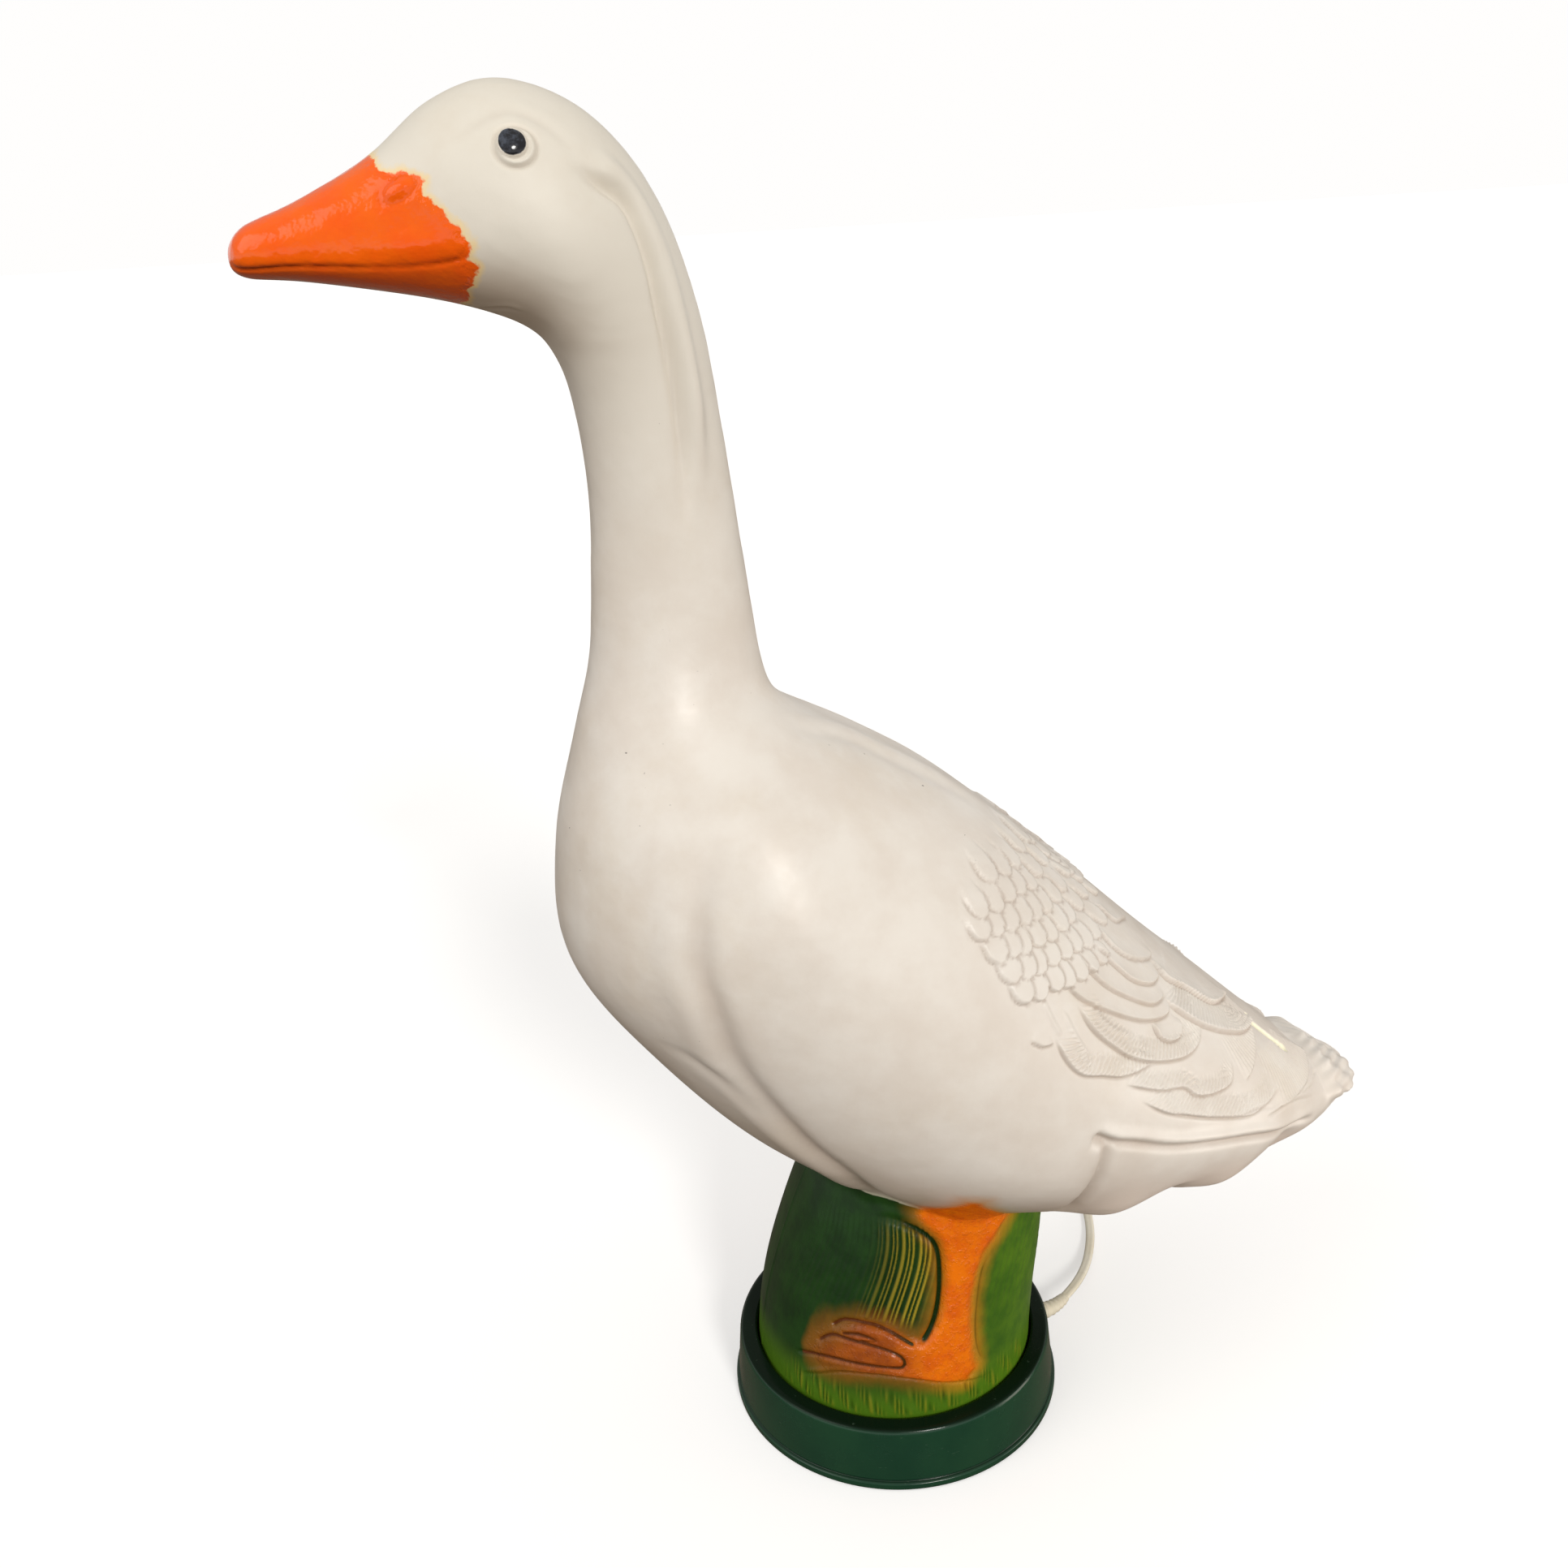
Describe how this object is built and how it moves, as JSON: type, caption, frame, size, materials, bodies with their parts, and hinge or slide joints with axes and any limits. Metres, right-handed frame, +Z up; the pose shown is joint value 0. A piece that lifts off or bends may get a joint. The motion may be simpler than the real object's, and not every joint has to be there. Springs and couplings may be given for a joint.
{
  "type": "goose table lamp",
  "caption": "Standing goose moulded hollow in white plastic on a green column, lifting off a round base with a lampholder, bulb, flat mains lead, rocker switch and plug.",
  "frame": {"origin": "on the floor, under the middle of the goose's length from beak to tail, in its plane of symmetry", "axes": "+Z up; the goose looks along -X, its tail is at +X; its left side faces -Y"},
  "size_m": [0.522, 0.3641, 0.671],
  "materials": {
    "goose_white": "semi-gloss moulded plastic, airbrushed orange on the beak and legs and green on the column",
    "base_green": "smooth glossy dark green",
    "pad_rubber": "matt black rubber",
    "zinc_steel": "zinc plated",
    "brass": "plain pressed brass",
    "nickel": "nickel plated",
    "opal_glass": "softly frosted",
    "black_plastic": "satin thermoset",
    "inner_white": "glazed insulating plastic",
    "lead_brown": "smooth insulation",
    "lead_blue": "smooth insulation",
    "ivory_flex": "smooth flexible sheath",
    "ivory_plastic": "fine satin moulded",
    "rocker_ivory": "polished moulded"
  },
  "bodies": {
    "base": {"base_ring": "base_green", "base_floor": "base_green", "floor_screw_1": "zinc_steel", "floor_screw_2": "zinc_steel", "floor_screw_3": "zinc_steel", "floor_screw_4": "zinc_steel", "foot_pad_1": "pad_rubber", "foot_pad_2": "pad_rubber", "foot_pad_3": "pad_rubber", "foot_pad_4": "pad_rubber", "holder_bracket": "zinc_steel", "bracket_screw_1": "zinc_steel", "bracket_screw_2": "zinc_steel", "holder_base": "inner_white", "holder_sleeve": "black_plastic", "holder_thread": "brass", "holder_contact": "brass", "terminal_screw_1": "brass", "terminal_screw_2": "brass", "cord_grommet": "ivory_flex", "cord_inside": "ivory_flex", "lead_live": "lead_brown", "lead_neutral": "lead_blue", "clamp_bar": "inner_white", "clamp_screw_1": "zinc_steel", "clamp_screw_2": "zinc_steel", "cord_lead": "ivory_flex", "cord_to_coil": "ivory_flex", "cord_to_plug": "ivory_flex", "cord_coil": "ivory_flex", "coil_tie": "ivory_flex", "switch_bottom": "ivory_plastic", "switch_top": "ivory_plastic", "switch_pin": "zinc_steel", "switch_screw_1": "zinc_steel", "switch_screw_2": "zinc_steel", "switch_terminal_1": "brass", "switch_terminal_2": "brass", "plug_body": "ivory_plastic", "plug_sleeve_1": "black_plastic", "plug_pin_1": "nickel", "plug_sleeve_2": "black_plastic", "plug_pin_2": "nickel"},
    "goose": {"goose_shell": "goose_white"},
    "bulb": {"bulb_cap": "nickel", "bulb_glass": "opal_glass", "bulb_insulator": "black_plastic", "bulb_tip": "nickel"},
    "rocker": {"switch_rocker": "rocker_ivory"}
  },
  "joints": [
    {"name": "goose_lift", "type": "slide", "parent": "base", "child": "goose", "axis": [0, 0, 1], "range_m": [0, 0.12]},
    {"name": "bulb_unscrew", "type": "slide", "parent": "base", "child": "bulb", "axis": [0, 0, 1], "range_m": [0, 0.022]},
    {"name": "switch_press", "type": "hinge", "parent": "base", "child": "rocker", "pos_m": [0.073, 0.242, 0.0122], "axis": [0, 1, 0], "range_deg": [0, 22]}
  ]
}
